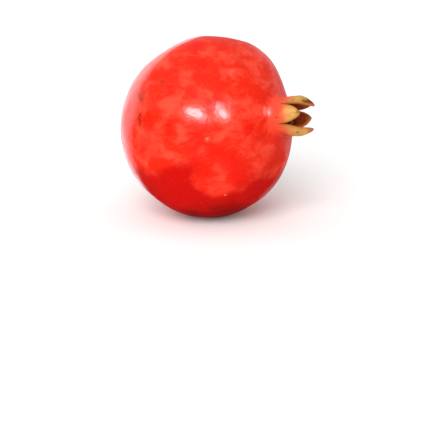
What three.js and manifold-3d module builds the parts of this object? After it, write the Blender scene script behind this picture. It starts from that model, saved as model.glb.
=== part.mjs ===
// A pomegranate lying on its side, as picked. Millimetres, +Z up, the origin on the flat spot that it rests
// on, straight below the middle of its body.
// The fruit is modelled in its own frame, which the group then lays down: its axis is X, with the cut stub of
// the stalk at -X and the crown, the dried calyx, at +X. Its skin is one closed surface, from the stub over the
// body and up the outside of the calyx tube, round the edges of six sepals and down the inside of the tube.
import * as THREE from "three";
import { mergeVertices } from "three/addons/utils/BufferGeometryUtils.js";
import Module from "manifold-3d";

// The body
const BODY_RADIUS = 45; // across the axis
const BODY_HALF_LENGTH = 41.8; // along the axis, from the middle to where either end would close
const TILT = 14.8; // degrees that the axis rises towards the crown
const NECK = 21; // degrees from the crown's pole, where the body turns up into the calyx tube
const NECK_PULL = { body: 4.6, tube: 3 }; // how far that bend keeps the direction of either end
const SHOULDER = 16; // degrees from the stalk's pole, where the body turns in to the dimple round the stub
const STUB = { radius: 2.6, length: 2.4, dimple: 1.6, bevel: 0.6 };
const DIMPLE_PULL = { body: 6, stub: 1.2 };

// Swellings and hollows of the body. towards: a direction in the fruit's own frame. width: degrees
const SWELLINGS = [
  { towards: [0.617, 0.45, 0.646], height: 3, width: 21 },
  { towards: [-0.33, -0.067, 0.942], height: -2.6, width: 14 },
  { towards: [-0.717, -0.231, 0.658], height: -1.35, width: 38 },
  { towards: [-0.585, -0.436, -0.684], height: -0.8, width: 16 },
  { towards: [0.656, 0.292, -0.696], height: 0.75, width: 26 },
  { towards: [-0.859, 0.484, -0.165], height: 1.2, width: 26 },
  { towards: [0.074, 0.997, -0.02], height: -1.3, width: 24 },
  { towards: [-0.351, 0.762, 0.545], height: 1, width: 24 },
  { towards: [-0.323, 0.607, -0.726], height: -0.9, width: 22 },
];
const SWELLING_FADE = [35, 43]; // along the axis, where swellings die out before the calyx tube

// The calyx: a short tube that splits into sepals. It nods a little from the body's axis
const TUBE_RADIUS = 9.6;
const TUBE_WALL = 2.3;
const SPLIT_X = 42.6; // along the axis, where the sepals' own shapes begin
const NOTCH_RISE = 2.6; // from there to the notches between the sepals
const CUP = { floorX: 36.3, radius: 7, fillet: 3 };
const NOD = 7.3; // degrees down
const NOD_SPAN = [34, 46]; // along the axis, where it bends

// The sepals, in order round the axis from -Y towards +Z. span: degrees. length: along its curve, from
// SPLIT_X. flare: degrees that it turns out at its root. curl: degrees that it turns back, over the shares of
// its length in bend. lean: how far its tip strays, in half spans. taper: how late it narrows. blunt: under 1
// rounds its tip
const FIRST_NOTCH = -11; // degrees round the axis
const SEPALS = [
  { span: 65, length: 14, flare: 6, curl: -24, bend: [0.35, 0.85], lean: 0.02, taper: 2.1, blunt: 0.6 },
  { span: 58, length: 19.9, flare: 6, curl: -34, bend: [0.42, 0.72], lean: -0.1, taper: 3.2, blunt: 0.7 },
  { span: 60, length: 13.4, flare: 4, curl: -22, bend: [0.35, 0.85], lean: 0.1, taper: 2.4, blunt: 0.7 },
  { span: 63, length: 12.9, flare: 8, curl: -28, bend: [0.35, 0.85], lean: -0.16, taper: 1.8, blunt: 0.75 },
  { span: 57, length: 12, flare: 3, curl: -20, bend: [0.35, 0.85], lean: 0.12, taper: 2, blunt: 0.7 },
  { span: 57, length: 19.3, flare: 7, curl: -28, bend: [0.4, 0.9], lean: -0.35, taper: 1.5, blunt: 0.5 },
];
const FLARE_SHARE = 0.4; // share of its length over which a sepal turns out
const TIP_SPREAD = 1.45; // above 1, the skin's columns crowd towards the tip
const TIP_THINNING = 0.35; // share of the wall's thickness lost by the tip
const NOTCH_SHARE = 0.86; // from there to the notch, a sepal's edge turns to face straight out of it
const EDGE_ROOM = 0.85; // share of a sepal's half width that the rounding of its edge may take up
const EDGE_STEP = 0.05; // either way along a sepal's outline, for its slope there

// The flat spot that it rests on
const REST_DISTANCE = 43.7; // from the middle of the body
const REST_BLEND = 0.4; // half the band of heights in which the flat runs out into the round body

// The dried tuft in the calyx tube: a lining that the stamens grow from, and the style in the middle
const GAP = 0.3; // from the lining to the tube's wall and floor
const LINING = { height: 4.2, wall: 1.1, floor: 1.3, fillet: 0.8, sides: 24 };
const STYLE = { radius: 0.9, length: 8.6, stigma: 1.4, stigmaLength: 1.8, sides: 8 };
const STAMEN_ROWS = [
  { count: 15, rootRadius: 6.15, length: 6.6, inward: 20 },
  { count: 12, rootRadius: 5.9, length: 5.2, inward: 42 },
];
const STAMEN_ROOT = 1.2; // how deep a stamen's root is sunk in the lining
const STAMEN_DRAWS = { place: [-0.25, 0.25], length: [0.82, 1.15], inward: [0.6, 1.4], twist: [-0.22, 0.22] };
const FILAMENT = { radius: 0.36, sides: 5, steps: 4 };
const ANTHER = { radius: 0.66, stretch: 1.35, sides: 6, rings: 4 };
const SEED = 7;

// How finely the surfaces are cut
const COLUMNS_PER_SEPAL = 10;
const ROWS = { dimple: 5, body: 24, neck: 5, sepal: 7, edge: 3, wall: 2, fillet: 3, floor: 2 };
const SPINE_STEPS = 24;

const { degToRad: radians, smoothstep } = THREE.MathUtils;
const wasm = await Module();
wasm.setup();

const range = (count, start = 0) => Array.from({ length: count }, (_, index) => start + index);

// A repeatable draw between low and high
let drawn = SEED;
function draw(low, high) {
  drawn = (drawn * 16807) % 2147483647;
  return low + (high - low) * (drawn / 2147483647);
}

// A place in the fruit's frame. angle: radians round the axis, from -Y towards +Z
function place(along, radius, angle) {
  return new THREE.Vector3(along, -radius * Math.cos(angle), radius * Math.sin(angle));
}

// The outside from the stub's cut face to where the sepals begin, as points (along the axis, radius)
function outerProfile() {
  const onBody = (angle) =>
    new THREE.Vector2(BODY_HALF_LENGTH * Math.cos(angle), BODY_RADIUS * Math.sin(angle));
  const towardsCrown = (angle) =>
    new THREE.Vector2(BODY_HALF_LENGTH * Math.sin(angle), -BODY_RADIUS * Math.cos(angle)).normalize();
  const shoulder = radians(180 - SHOULDER);
  const neck = radians(NECK);
  const dimpleX = STUB.dimple - BODY_HALF_LENGTH;
  const cutX = dimpleX - STUB.length;
  const dimple = new THREE.CubicBezierCurve(
    new THREE.Vector2(cutX + STUB.bevel, STUB.radius),
    new THREE.Vector2(dimpleX + DIMPLE_PULL.stub, STUB.radius),
    onBody(shoulder).addScaledVector(towardsCrown(shoulder), -DIMPLE_PULL.body),
    onBody(shoulder),
  );
  const body = range(ROWS.body - 1, 1).map((row) =>
    onBody(THREE.MathUtils.lerp(shoulder, neck, row / ROWS.body)),
  );
  const tube = new THREE.CubicBezierCurve(
    onBody(neck),
    onBody(neck).addScaledVector(towardsCrown(neck), NECK_PULL.body),
    new THREE.Vector2(SPLIT_X - NECK_PULL.tube, TUBE_RADIUS),
    new THREE.Vector2(SPLIT_X, TUBE_RADIUS),
  );
  return [
    new THREE.Vector2(cutX, 0),
    new THREE.Vector2(cutX, STUB.radius - STUB.bevel),
    ...dimple.getSpacedPoints(ROWS.dimple),
    ...body,
    ...tube.getSpacedPoints(ROWS.neck),
  ];
}

// The inside of the tube from topX to the middle of its floor, as points (along the axis, radius). With a
// gap, the same line that far off the surface
function cupProfile(topX, gap) {
  const cornerX = CUP.floorX + CUP.fillet;
  const cornerRadius = CUP.radius - CUP.fillet;
  const wall = range(ROWS.wall).map(
    (row) => new THREE.Vector2(THREE.MathUtils.lerp(topX, cornerX, row / ROWS.wall), CUP.radius - gap),
  );
  const fillet = range(ROWS.fillet + 1).map((row) => {
    const turn = (Math.PI / 2) * (row / ROWS.fillet);
    const size = CUP.fillet - gap;
    return new THREE.Vector2(cornerX - size * Math.sin(turn), cornerRadius + size * Math.cos(turn));
  });
  const floor = range(ROWS.floor, 1).map(
    (row) => new THREE.Vector2(CUP.floorX + gap, cornerRadius * (1 - row / ROWS.floor)),
  );
  return [...wall, ...fillet, ...floor];
}

// Half a sepal's thickness at a share of its length
function halfThickness(share) {
  return (TUBE_WALL / 2) * (1 - TIP_THINNING * share ** 1.5);
}

// The direction that a sepal runs in at a share of its length, as radians outwards from the axis
function heading(sepal, share) {
  const out = sepal.flare * smoothstep(share, 0, FLARE_SHARE);
  const back = sepal.curl * smoothstep(share, ...sepal.bend);
  return radians(out + back);
}

// The middle of a sepal's thickness at a distance from its root, as (along the axis, radius)
function spine(sepal, distance) {
  const point = new THREE.Vector2(SPLIT_X, TUBE_RADIUS - TUBE_WALL / 2);
  for (const step of range(SPINE_STEPS)) {
    const direction = heading(sepal, ((step + 0.5) / SPINE_STEPS) * (distance / sepal.length));
    point.x += (Math.cos(direction) * distance) / SPINE_STEPS;
    point.y += (Math.sin(direction) * distance) / SPINE_STEPS;
  }
  return point;
}

// A sepal's outline from one notch (position -1) over the tip (0) to the next notch (1). width: from its own
// middle line. across: from the middle of its span. Both in half spans. distance: from its root
function outline(sepal, position) {
  const rise = Math.max(0, 1 - Math.abs(position) ** TIP_SPREAD);
  const width = (1 - rise ** sepal.taper) ** sepal.blunt;
  const across = Math.sign(position) * width + sepal.lean * rise ** 2;
  return { width, across, distance: THREE.MathUtils.lerp(NOTCH_RISE, sepal.length, rise) };
}

// A point of a sepal's skin. reach: 0 at its root, 1 at its edge. turn: degrees round the rounded edge, from
// 90 on the outside, over 0 at the crest, to -90 on the inside
function sepalSkin({ sepal, position, middle }, reach, turn) {
  const halfSpan = radians(sepal.span / 2);
  const halfWidth = halfSpan * (TUBE_RADIUS - TUBE_WALL / 2);
  const edge = outline(sepal, position);
  const before = outline(sepal, position - EDGE_STEP);
  const after = outline(sepal, position + EDGE_STEP);
  const run = new THREE.Vector2((after.across - before.across) * halfWidth, after.distance - before.distance);
  const atNotch = smoothstep(Math.abs(position), NOTCH_SHARE, 1);
  const sideways = (-run.y / run.length()) * (1 - atNotch);
  const outwards = Math.sqrt(1 - sideways ** 2);

  const share = edge.distance / sepal.length;
  const inset = halfThickness(share) * (1 - Math.cos(radians(turn)));
  const shift = Math.min(Math.abs(sideways * inset) / halfWidth, EDGE_ROOM * edge.width);
  const distance = (edge.distance - outwards * inset) * reach;
  const across = THREE.MathUtils.lerp(position, edge.across - Math.sign(sideways) * shift, reach);
  const point = spine(sepal, distance);
  const direction = heading(sepal, distance / sepal.length);
  const offset = halfThickness(share * reach) * Math.sin(radians(turn));
  return place(
    point.x - Math.sin(direction) * offset,
    point.y + Math.cos(direction) * offset,
    middle + across * halfSpan,
  );
}

// The skin's columns, round the axis: which sepal each runs up, and where it meets that sepal's outline
function skinColumns() {
  let notch = FIRST_NOTCH;
  return SEPALS.flatMap((sepal) => {
    const middle = radians(notch + sepal.span / 2);
    notch += sepal.span;
    return range(COLUMNS_PER_SEPAL).map((step) => {
      const position = (2 * step) / COLUMNS_PER_SEPAL - 1;
      return { sepal, position, middle, angle: middle + position * radians(sepal.span / 2) };
    });
  });
}

// The skin's rows, from the stub's cut face to the floor of the tube: each gives a column's point
function skinRows() {
  const ring = (point) => (column) => place(point.x, point.y, column.angle);
  const outside = range(ROWS.sepal, 1).map((row) => (column) => sepalSkin(column, row / ROWS.sepal, 90));
  const edge = range(ROWS.edge, 1).map(
    (row) => (column) => sepalSkin(column, 1, 90 - (180 * row) / (ROWS.edge + 1)),
  );
  const inside = range(ROWS.sepal + 1).map((row) => (column) => sepalSkin(column, 1 - row / ROWS.sepal, -90));
  const cup = cupProfile(SPLIT_X, 0).slice(1);
  return [...outerProfile().map(ring), ...outside, ...edge, ...inside, ...cup.map(ring)];
}

// The body's swellings and hollows
function swell(point) {
  const direction = point.clone().normalize();
  const fade = 1 - smoothstep(point.x, ...SWELLING_FADE);
  const height = SWELLINGS.reduce((sum, swelling) => {
    const away = direction.angleTo(new THREE.Vector3(...swelling.towards));
    return sum + swelling.height * Math.exp(-((away / radians(swelling.width)) ** 2));
  }, 0);
  return point.addScaledVector(direction, height * fade);
}

// The crown's nod, about a line across the axis where the bend starts
function nod(point) {
  const bend = radians(NOD) * smoothstep(point.x, ...NOD_SPAN);
  const pivot = new THREE.Vector3(NOD_SPAN[0], 0, 0);
  return point.sub(pivot).applyAxisAngle(new THREE.Vector3(0, 1, 0), bend).add(pivot);
}

// The flat spot: what would reach below it is pressed up to it
function press(point) {
  const up = new THREE.Vector3(Math.sin(radians(TILT)), 0, Math.cos(radians(TILT)));
  const height = point.dot(up) + REST_DISTANCE;
  if (height >= REST_BLEND) {
    return point;
  }
  const pressed = Math.max(0, height + REST_BLEND) ** 2 / (4 * REST_BLEND);
  return point.addScaledVector(up, pressed - height);
}

function fruitGeometry() {
  const columns = skinColumns();
  const rows = skinRows();
  const plainTube = rows.map((_, row) => new THREE.Vector2(1, row));
  const geometry = new THREE.LatheGeometry(plainTube, columns.length);
  for (const segment of range(columns.length + 1)) {
    const column = columns[(columns.length - segment) % columns.length];
    for (const row of range(rows.length)) {
      const point = press(nod(swell(rows[row](column))));
      geometry.attributes.position.setXYZ(segment * rows.length + row, ...point);
    }
  }
  geometry.computeVertexNormals();
  return geometry;
}

// A closed geometry as a solid that can be joined
function toSolid(geometry) {
  geometry.deleteAttribute("normal");
  geometry.deleteAttribute("uv");
  const merged = mergeVertices(geometry, 1e-4);
  const corners = merged.index.array;
  const triangles = range(corners.length / 3)
    .map((triangle) => Array.from(corners.slice(3 * triangle, 3 * triangle + 3)))
    .filter(([a, b, c]) => a !== b && b !== c && c !== a);
  return new wasm.Manifold(
    new wasm.Mesh({
      numProp: 3,
      vertProperties: merged.attributes.position.array,
      triVerts: Uint32Array.from(triangles.flat()),
    }),
  );
}

function toGeometry(solid) {
  const mesh = solid.getMesh();
  const geometry = new THREE.BufferGeometry();
  geometry.setAttribute("position", new THREE.BufferAttribute(mesh.vertProperties, 3));
  geometry.setIndex(new THREE.BufferAttribute(mesh.triVerts, 1));
  return geometry;
}

// A solid turned about the fruit's axis from points (along the axis, radius), which run towards -X outside
function turned(points, sides) {
  const profile = points.map((point) => new THREE.Vector2(point.y, point.x)).reverse();
  return toSolid(new THREE.LatheGeometry(profile, sides).rotateZ(-Math.PI / 2));
}

// The lining: a shallow cup along the tube's wall and floor
function lining() {
  const topX = CUP.floorX + GAP + LINING.height;
  const insideFloor = CUP.floorX + GAP + LINING.floor;
  const insideRadius = CUP.radius - GAP - LINING.wall;
  return turned(
    [
      new THREE.Vector2(insideFloor, 0),
      new THREE.Vector2(insideFloor, insideRadius - LINING.fillet),
      new THREE.Vector2(insideFloor + LINING.fillet, insideRadius),
      new THREE.Vector2(topX, insideRadius),
      ...cupProfile(topX, GAP),
    ],
    LINING.sides,
  );
}

function style() {
  const footX = CUP.floorX + GAP + LINING.floor / 2;
  const topX = footX + STYLE.length;
  return turned(
    [
      new THREE.Vector2(topX, 0),
      new THREE.Vector2(topX - STYLE.stigmaLength / 6, STYLE.stigma * 0.8),
      new THREE.Vector2(topX - STYLE.stigmaLength / 2, STYLE.stigma),
      new THREE.Vector2(topX - STYLE.stigmaLength, STYLE.radius),
      new THREE.Vector2(footX, STYLE.radius),
      new THREE.Vector2(footX, 0),
    ],
    STYLE.sides,
  );
}

// One stamen at an angle round the lining: a bent filament and the anther on its end
function stamen(row, angle) {
  const footX = CUP.floorX + GAP + LINING.height - STAMEN_ROOT;
  const length = row.length * draw(...STAMEN_DRAWS.length);
  const inward = radians(row.inward * draw(...STAMEN_DRAWS.inward));
  const twist = draw(...STAMEN_DRAWS.twist);
  const tipX = footX + STAMEN_ROOT + length * Math.cos(inward);
  const tipRadius = row.rootRadius - length * Math.sin(inward);
  const curve = new THREE.QuadraticBezierCurve3(
    place(footX, row.rootRadius, angle),
    place(footX + STAMEN_ROOT + length / 2, row.rootRadius, angle + twist / 2),
    place(tipX, tipRadius, angle + twist),
  );
  const circle = new THREE.EllipseCurve(0, 0, FILAMENT.radius, FILAMENT.radius);
  const section = new THREE.Shape(circle.getPoints(FILAMENT.sides));
  const filament = new THREE.ExtrudeGeometry(section, { steps: FILAMENT.steps, extrudePath: curve });
  const along = curve.getTangent(1);
  const anther = new THREE.SphereGeometry(ANTHER.radius, ANTHER.sides, ANTHER.rings)
    .scale(1, ANTHER.stretch, 1)
    .applyQuaternion(new THREE.Quaternion().setFromUnitVectors(new THREE.Vector3(0, 1, 0), along))
    .translate(...curve.getPoint(1));
  return [toSolid(filament), toSolid(anther)];
}

function stamensGeometry() {
  const stamens = STAMEN_ROWS.flatMap((row, rank) =>
    range(row.count).flatMap((step) => {
      const turns = (step + rank / 2 + draw(...STAMEN_DRAWS.place)) / row.count;
      return stamen(row, 2 * Math.PI * turns);
    }),
  );
  const geometry = toGeometry(wasm.Manifold.union([lining(), style(), ...stamens]));
  const positions = geometry.attributes.position;
  for (const index of range(positions.count)) {
    positions.setXYZ(index, ...nod(new THREE.Vector3().fromBufferAttribute(positions, index)));
  }
  geometry.computeVertexNormals();
  return geometry;
}

const fruit = new THREE.Mesh(
  fruitGeometry(),
  new THREE.MeshStandardMaterial({ color: 0xe5352a, roughness: 0.38, metalness: 0 }),
);
fruit.name = "fruit";

const stamens = new THREE.Mesh(
  stamensGeometry(),
  new THREE.MeshStandardMaterial({ color: 0x8a5a2c, roughness: 0.85, metalness: 0 }),
);
stamens.name = "stamens";

const pomegranate = new THREE.Group();
pomegranate.add(fruit, stamens);
pomegranate.rotation.y = -radians(TILT);
pomegranate.position.z = REST_DISTANCE;

export default pomegranate;
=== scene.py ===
"""A pomegranate lying on its side, as picked, on a pale studio floor.

Shapes are worked out in millimetres in the fruit's own frame, where the axis of the fruit is X, the cut
stub of the stalk is at -X and the crown at +X. lay_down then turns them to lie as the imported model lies, in
metres.
"""

import math

import bpy
import numpy as np
from mathutils import Matrix, Vector, noise


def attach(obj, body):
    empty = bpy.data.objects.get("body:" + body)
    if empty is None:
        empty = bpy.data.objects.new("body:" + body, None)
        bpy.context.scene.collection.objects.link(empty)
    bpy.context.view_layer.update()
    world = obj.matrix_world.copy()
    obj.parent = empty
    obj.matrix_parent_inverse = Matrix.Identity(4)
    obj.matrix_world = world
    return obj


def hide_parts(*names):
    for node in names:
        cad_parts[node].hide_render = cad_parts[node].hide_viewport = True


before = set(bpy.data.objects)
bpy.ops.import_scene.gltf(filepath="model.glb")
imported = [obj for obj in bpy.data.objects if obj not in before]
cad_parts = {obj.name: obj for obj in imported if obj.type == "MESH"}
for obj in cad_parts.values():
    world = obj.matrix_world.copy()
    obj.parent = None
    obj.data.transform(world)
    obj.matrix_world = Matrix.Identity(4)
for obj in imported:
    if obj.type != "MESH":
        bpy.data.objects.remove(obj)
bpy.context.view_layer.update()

bl_info = {
    "name": "Pomegranate",
    "version": (1, 0, 0),
    "blender": (4, 5, 0),
    "location": "3D View > Sidebar > Pomegranate",
    "description": "Makes the rind with its crown, the dried stamens, and a studio stage",
    "category": "Add Mesh",
}

MM = 0.001

# The body, as ellipse, neck and dimple
BODY_RADIUS = 45.0
BODY_HALF_LENGTH = 41.8
TILT = math.radians(14.8)
NECK = math.radians(21)
NECK_PULL = (4.6, 3.0)
SHOULDER = math.radians(164)
STUB = {"radius": 2.6, "length": 2.4, "dimple": 1.6, "bevel": 0.6}
DIMPLE_PULL = (6.0, 1.2)
REST_DISTANCE = 43.7
REST_BLEND = 0.4

# Swellings and hollows of the body: a direction in the fruit's frame, the height in millimetres and the
# width in degrees
SWELLINGS = (
    ((0.617, 0.45, 0.646), 3.0, 21),
    ((-0.33, -0.067, 0.942), -2.6, 14),
    ((-0.717, -0.231, 0.658), -1.35, 38),
    ((-0.585, -0.436, -0.684), -0.8, 16),
    ((0.656, 0.292, -0.696), 0.75, 26),
    ((-0.859, 0.484, -0.165), 1.2, 26),
    ((0.074, 0.997, -0.02), -1.3, 24),
    ((-0.351, 0.762, 0.545), 1.0, 24),
    ((-0.323, 0.607, -0.726), -0.9, 22),
)
SWELLING_FADE = (35.0, 43.0)

# The calyx: a tube that splits into six sepals, and nods a little
TUBE_RADIUS = 9.6
TUBE_WALL = 2.3
SPLIT_X = 42.6
NOTCH_RISE = 2.6
CUP = {"floor": 36.3, "radius": 7.0, "fillet": 3.0}
NOD = math.radians(7.3)
NOD_SPAN = (34.0, 46.0)
FIRST_NOTCH = -11.0
# In order round the axis from -Y towards +Z: degrees round the axis, length in millimetres, degrees that it
# flares and then curls, where along it the curl starts and ends, how far its tip leans aside, how pointed
# and how blunt it is, and how dark and dry the tip is, from 0 to 1
SEPAL_SIZES = ("span", "length", "flare", "curl", "bend", "lean", "taper", "blunt", "browned")
SEPALS = [dict(zip(SEPAL_SIZES, sizes)) for sizes in (
    (65, 14.0, 6, -24, (0.35, 0.85), 0.02, 2.1, 0.6, 0.4),
    (58, 19.9, 6, -34, (0.42, 0.72), -0.1, 3.2, 0.7, 1.0),
    (60, 13.4, 4, -22, (0.35, 0.85), 0.1, 2.4, 0.7, 0.5),
    (63, 12.9, 8, -28, (0.35, 0.85), -0.16, 1.8, 0.75, 0.7),
    (57, 12.0, 3, -20, (0.35, 0.85), 0.12, 2.0, 0.7, 0.4),
    (57, 19.3, 7, -28, (0.4, 0.9), -0.35, 1.5, 0.5, 0.3),
)]
FLARE_SHARE = 0.4
TIP_SPREAD = 1.45
TIP_THINNING = 0.35
NOTCH_SHARE = 0.86
EDGE_ROOM = 0.85
EDGE_STEP = 0.05
SPINE_STEPS = 24

# How finely the rind is cut
COLUMNS_PER_SEPAL = 48
ROWS = {"cut": 4, "dimple": 16, "body": 150, "neck": 30, "sepal": 34, "edge": 7, "wall": 8, "fillet": 8,
        "floor": 6}

# Relief in millimetres: its height, and for the sepals also the size of its lumps
GRAIN_SQUASH = 0.16  # what a distance along a sepal counts in its grain, which draws the grain out
WRINKLES = (0.16, 1.3)
BUCKLES = (0.1, 2.6)
BARK_RELIEF = 0.12

# The dried tuft in the tube
GAP = 0.3
LINING = {"height": 4.2, "wall": 1.1, "floor": 1.3, "fillet": 0.8, "sides": 96}
STYLE = {"radius": 0.75, "length": 8.6, "stigma": 1.3, "stigma_length": 1.8, "sides": 16}
STAMEN_ROOT = 1.4  # how deep the stamens' roots are sunk in the lining
GOLDEN_ANGLE = math.radians(137.508)
KINK = 1 / 260  # metres from one kink of a filament to the next
CROOK = 0.0022  # metres: twice as far as kinks can push a filament's tip aside
SEED = 7

# Marks on the skin: degrees from the crown, degrees round the axis from -Y towards +Z, half its width round
# the axis and along it in millimetres, its colour, its strength, and how soft its edge is, from 0 to 1
MARKS = (
    (78, 36, 5.5, 5, "#FA1806", 0.7, 1),
    (104, 4, 4.5, 7, "#F21606", 0.55, 1),
    (97, 14, 6, 5, "#F81A08", 0.5, 1),
    (56, 20, 2.4, 2, "#F02010", 0.6, 1),
    (43.8, 56.5, 2.9, 2.3, "#FF6A50", 0.6, 0.9),
    (66, 66, 2.6, 3.4, "#FF6A54", 0.3, 1),
    (58.4, -1.6, 1.5, 2, "#F2643A", 0.6, 1),
    (58.6, -1.4, 0.5, 0.9, "#A8905A", 0.6, 0.8),
    (105, 34, 4, 4.4, "#B4341C", 0.45, 1),
    (105.2, 34.2, 1.3, 1.5, "#8A2C12", 0.8, 0.9),
    (102.8, 31.5, 1, 1.4, "#8E2E14", 0.7, 0.9),
    (106.8, 36.6, 1.2, 1.2, "#8E3014", 0.7, 0.9),
    (101.5, 36, 1.4, 1, "#963418", 0.6, 0.9),
    (87, 40.8, 2.1, 1.4, "#A82E16", 0.65, 1),
    (115.3, 45.3, 1, 1.3, "#8C3018", 0.7, 0.9),
    (104.4, 21.8, 1.1, 0.9, "#7A220E", 0.85, 0.7),
    (105.8, 19.8, 1.5, 0.8, "#7E2410", 0.8, 0.7),
    (104.8, 16.8, 2, 0.8, "#7A220E", 0.85, 0.7),
    (85, 76, 0.8, 1.2, "#8C3826", 0.55, 0.9),
    (93, 79, 0.7, 1, "#8C3826", 0.5, 0.9),
    (64.9, -48.4, 0.7, 0.5, "#F0A070", 0.8, 0.5),
    (58, 22.5, 0.5, 0.7, "#A81408", 0.7, 0.6),
    (50, 22, 0.35, 0.5, "#A83030", 0.6, 0.6),
    # Painted highlight: the two pale pink patches on the neck, below the front sepal
    (11.4, 21.5, 3.4, 1.9, "#FBA09A", 0.5, 1),
    (14.8, 21.5, 3.4, 1.9, "#FBA09A", 0.55, 1),
    # Painted shade: a darker red patch on the neck, under the crown's lower sepals
    (23, -26, 4.5, 3, "#CC1C0C", 0.4, 1),
    # Painted reflected light: a lighter red tongue at the lower front, lit from below
    (66, -40, 6, 9, "#F63A24", 0.5, 1),
    (80, 150, 6, 4, "#C8743A", 0.5, 0.9),
    (98, 172, 3, 2.2, "#9A5A34", 0.6, 0.6),
    (60, 205, 0.9, 0.8, "#5A2A1C", 0.8, 0.5),
    (118, 230, 1.2, 0.8, "#6A3020", 0.75, 0.5),
    (72, 128, 0.8, 2.4, "#7A3222", 0.65, 0.5),
    (130, 110, 1, 0.9, "#6A2C20", 0.7, 0.5),
    (90, 250, 7, 5, "#D8702C", 0.35, 1),
)

# Marks on the outside of the crown: the sepal, where across it, from -1 to 1, how far up it, from 0 to 1,
# the radius in millimetres, the colour and its strength
CROWN_MARKS = (
    (5, 0, 0.5, 5, "#CC8450", 0.45),
    (5, 0.25, 0.72, 1, "#7E7426", 0.85),
    (5, -0.1, 0.12, 2.4, "#D8522E", 0.5),
    (5, 0, 0.97, 2.6, "#B45E40", 0.8),
    (5, -0.3, 0.25, 2.8, "#BE421C", 0.55),
    (1, -0.25, 0.84, 1.5, "#4E2616", 0.75),
    (1, -0.5, 0.7, 1.5, "#A85A3C", 0.5),
    (1, 0.1, 0.7, 0.9, "#7A4424", 0.5),
    (0, 0.1, 0.98, 0.9, "#8A5A2A", 0.6),
    # Painted highlight: the paler patch in the middle of the front sepal
    (0, 0.15, 0.6, 2.4, "#E2B268", 0.5),
    (0, -0.33, 0.2, 0.55, "#6E120C", 0.9),
    (3, 0.2, 0.6, 1.2, "#8A5A30", 0.5),
    (4, -0.1, 0.8, 1.4, "#7C4A26", 0.6),
)
RAGGED_FROM = 2.0  # millimetres: marks of at least this half width and length have more ragged edges
FAR = 100.0  # millimetres from the middle of the stub's cut face, given to what is inside the crown

# Where the upper edge of the deep red, the painted shade of the underside, dips, and where it rises: as a
# mark without its colour, with the depth of the dip in metres as its strength
PAINTED_SHADE_WAVES = (
    (58, -38, 21, 19, 0.017, 1),
    (122, -34, 15, 15, -0.008, 1),
)

# What the skin mirrors: its name, degrees from the camera's azimuth, degrees above the horizon, distance,
# width and height in metres, roll in degrees, the setting of its power and its share of that
MIRRORED = (
    ("Left softbox", -8, 30, 0.9, (0.5, 0.16), -5, "softboxes", 0.4),
    ("Left lamp", -7.5, 30.6, 0.9, (0.47, 0.085), -4, "softboxes", 1.25),
    ("Right softbox", 31.5, 32.6, 0.9, (0.2, 0.25), 20, "softboxes", 0.3),
    ("Right lamp", 30.5, 31.6, 0.9, (0.12, 0.15), 25, "softboxes", 0.42),
    ("Rim panel", -146, -1, 1.2, (1.5, 1.4), 0, "panel", 0.94),
    ("Far panel", 152, -6, 1.2, (0.9, 1.4), 0, "panel", 0.1),
)

# What lights it: its name, degrees from the camera's azimuth, degrees above the horizon, how wide it looks
# in degrees, and the setting of its strength
LIGHTING = (
    ("Key light", -15, 36, 40, "key"),
    ("Overhead light", -40, 66, 110, "top"),
)
FLOOR_REACH = 8.0  # metres
DARK_SIDE = math.radians(-56)  # the middle of the room's dark half: in front, and below the horizon
MIRRORED_TINT = (0.95, 0.93, 1.0)
AIMED = (0.00445, -0.0435)  # metres from the body's middle, to the right and up, to where the camera looks


def linear(code):
    """A colour written as #RRGGBB, as the three linear values that Blender works in."""
    values = [int(code[start:start + 2], 16) / 255 for start in (1, 3, 5)]
    return tuple(value / 12.92 if value <= 0.04045 else ((value + 0.055) / 1.055) ** 2.4
                 for value in values)


def colour(code, words):
    """A colour that a user can change."""
    return bpy.props.FloatVectorProperty(
        name=words.capitalize(), description=f"Colour of {words}", subtype="COLOR", size=3, min=0, max=1,
        default=linear(code))


def measure(name, words, default, least, most):
    """A size in metres that a user can change."""
    return bpy.props.FloatProperty(
        name=name, description=words, subtype="DISTANCE", unit="LENGTH", precision=5, default=default,
        min=least, max=most)


def level(name, words, default, **unit):
    """A brightness or power that a user can change."""
    return bpy.props.FloatProperty(name=name, description=words, default=default, min=0, **unit)


class RindSettings(bpy.types.PropertyGroup):
    """Sizes and colours of the rind and its crown."""

    unevenness: measure("Unevenness", "Height of the broad, soft unevenness of the rind", 0.0003, 0, 0.001)
    dimples: measure("Dimples", "Depth of the small dimples of the rind", 0.00003, 0, 0.0003)
    mottle: measure("Mottle", "Distance between the pale blotches of the skin", 0.0075, 0.002, 0.03)
    skin: colour("#F0260C", "the skin")
    pale: colour("#FB4A34", "the pale mottles")
    rich: colour("#EE1604", "the richest red patches")
    # Painted shade: the deep red of the underside and the darkest red next to the ground stand in for shade
    low: colour("#CE0600", "the deep red of the underside")
    painted_contact_shade: colour("#980400", "the darkest red, close to the ground")
    root: colour("#E8553C", "the calyx tube")
    calyx: colour("#DAAA5C", "the dry outside of the sepals")
    tip: colour("#7A3A1C", "the browned tips of the sepals")
    inside: colour("#AA4620", "the inside of the sepals")
    faded: colour("#A86C34", "the inside of the sepals near their tips")
    rim: colour("#B06A34", "the cut-like edges of the sepals")
    stub: colour("#A98658", "the cut face of the stalk")
    bark: colour("#5C4126", "the bark of the stalk's stub")
    collar: colour("#B4622E", "the russet collar round the stub")


class StamenSettings(bpy.types.PropertyGroup):
    """Sizes and colours of the dried tuft in the crown."""

    count: bpy.props.IntProperty(
        name="Stamens", description="Number of dried stamens", default=110, min=10, max=200)
    length: measure("Length", "Length of the longest stamens", 0.0102, 0.003, 0.012)
    radius: measure("Filament radius", "Radius of a stamen's filament", 0.00019, 0.0001, 0.0004)
    anther: measure("Anther radius", "Radius of a stamen's anther", 0.00045, 0.0002, 0.0008)
    filament: colour("#B98A4C", "the filaments")
    pollen: colour("#C9963E", "the anthers")
    lining: colour("#6E4426", "the lining of the tube")


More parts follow.
